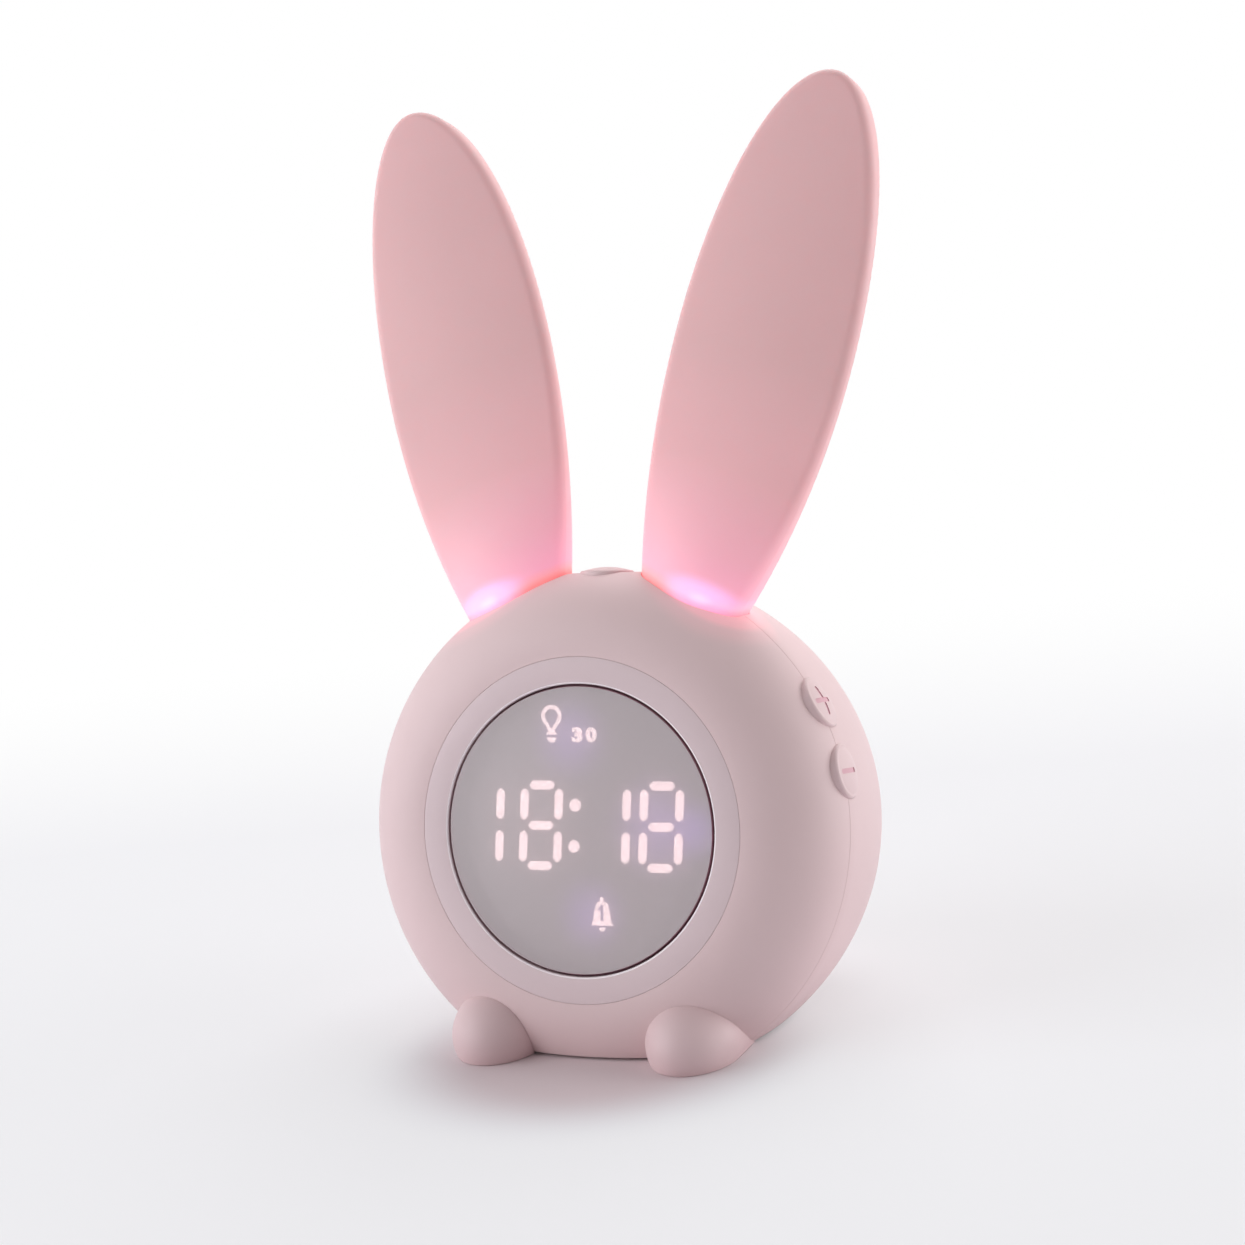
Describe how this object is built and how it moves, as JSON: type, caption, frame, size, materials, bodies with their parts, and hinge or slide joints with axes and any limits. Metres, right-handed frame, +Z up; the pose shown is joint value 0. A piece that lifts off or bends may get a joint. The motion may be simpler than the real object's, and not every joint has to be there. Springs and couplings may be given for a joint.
{
  "type": "bedside alarm clock with night light",
  "caption": "Round pink bedside alarm clock with a digital display, two tall glowing silicone ears, small feet and sprung buttons.",
  "frame": {"origin": "centre of the bounding box's footprint, on the surface that the clock stands on", "axes": "+Z up, display faces -Y and leans back by 11.245 degrees, +X to the right seen from in front"},
  "size_m": [0.1088, 0.0868, 0.1816],
  "materials": {
    "casing_plastic": "fine satin, soft-touch pale pink",
    "ring_plastic": "satin pale pink-grey",
    "smoked_lens": "smooth grey half-mirrored acrylic",
    "dark_foam": "closed-cell foam",
    "white_film": "milky diffusing film",
    "white_plastic": "reflective white",
    "lamp_resin": "clear-domed lamp resin",
    "circuit_board": "green solder mask",
    "chip_plastic": "black moulded resin",
    "screw_steel": "zinc-plated",
    "speaker_cloth": "fine dust cloth",
    "pressed_steel": "pressed and plated",
    "cone_paper": "pressed paper, stands in as plastic",
    "magnet_ferrite": "sintered ferrite, stands in as cast iron",
    "inner_plastic": "natural moulded",
    "cell_sleeve": "shrink sleeve over a steel can",
    "ear_silicone": "matt translucent silicone, pale pink",
    "button_silicone": "matt silicone, pale pink",
    "pad_rubber": "non-slip rubber",
    "foot_plastic": "fine satin, soft-touch pale pink"
  },
  "bodies": {
    "clock": {"front_casing": "casing_plastic", "rear_casing": "casing_plastic", "front_ring": "ring_plastic", "display_lens": "smoked_lens", "lens_gasket": "dark_foam", "diffuser_film": "white_film", "digit_housing": "white_plastic", "digit_leds": "lamp_resin", "main_board": "circuit_board", "board_chips": "chip_plastic", "board_screws": "screw_steel", "casing_screws": "screw_steel", "speaker_cloth": "speaker_cloth", "speaker_basket": "pressed_steel", "speaker_cone": "cone_paper", "speaker_magnet": "magnet_ferrite", "speaker_clamp": "inner_plastic", "speaker_screws": "screw_steel", "usb_socket": "pressed_steel", "usb_board": "circuit_board", "usb_screws": "screw_steel", "battery": "cell_sleeve", "battery_holder": "inner_plastic", "holder_screws": "screw_steel", "right_ear": "ear_silicone", "left_ear": "ear_silicone", "right_lamp_board": "circuit_board", "left_lamp_board": "circuit_board", "right_lamp_led": "lamp_resin", "left_lamp_led": "lamp_resin", "top_switches": "chip_plastic", "right_switches": "chip_plastic", "left_switches": "chip_plastic", "top_switch_board": "circuit_board", "right_switch_board": "circuit_board", "left_switch_board": "circuit_board", "switch_screws": "screw_steel", "foot_screws": "screw_steel", "base_pad": "pad_rubber", "right_foot": "foot_plastic", "left_foot": "foot_plastic"},
    "light_button": {"light_button": "button_silicone", "light_plunger": "chip_plastic"},
    "plus_button": {"plus_button": "button_silicone", "plus_plunger": "chip_plastic"},
    "minus_button": {"minus_button": "button_silicone", "minus_plunger": "chip_plastic"},
    "alarm_button": {"alarm_button": "button_silicone", "alarm_plunger": "chip_plastic"},
    "clock_button": {"clock_button": "button_silicone", "clock_plunger": "chip_plastic"}
  },
  "joints": [
    {"name": "light_press", "type": "slide", "parent": "clock", "child": "light_button", "axis": [0, -0.195, -0.9808], "range_m": [0, 0.0008], "stiffness_N_per_m": 1500, "springref_m": -0.0002},
    {"name": "plus_press", "type": "slide", "parent": "clock", "child": "plus_button", "axis": [-0.8788, -0.093, -0.468], "range_m": [0, 0.0008], "stiffness_N_per_m": 1500, "springref_m": -0.0002},
    {"name": "minus_press", "type": "slide", "parent": "clock", "child": "minus_button", "axis": [-0.9763, -0.0422, -0.2123], "range_m": [0, 0.0008], "stiffness_N_per_m": 1500, "springref_m": -0.0002},
    {"name": "alarm_press", "type": "slide", "parent": "clock", "child": "alarm_button", "axis": [0.8788, -0.093, -0.468], "range_m": [0, 0.0008], "stiffness_N_per_m": 1500, "springref_m": -0.0002},
    {"name": "clock_press", "type": "slide", "parent": "clock", "child": "clock_button", "axis": [0.9763, -0.0422, -0.2123], "range_m": [0, 0.0008], "stiffness_N_per_m": 1500, "springref_m": -0.0002}
  ]
}
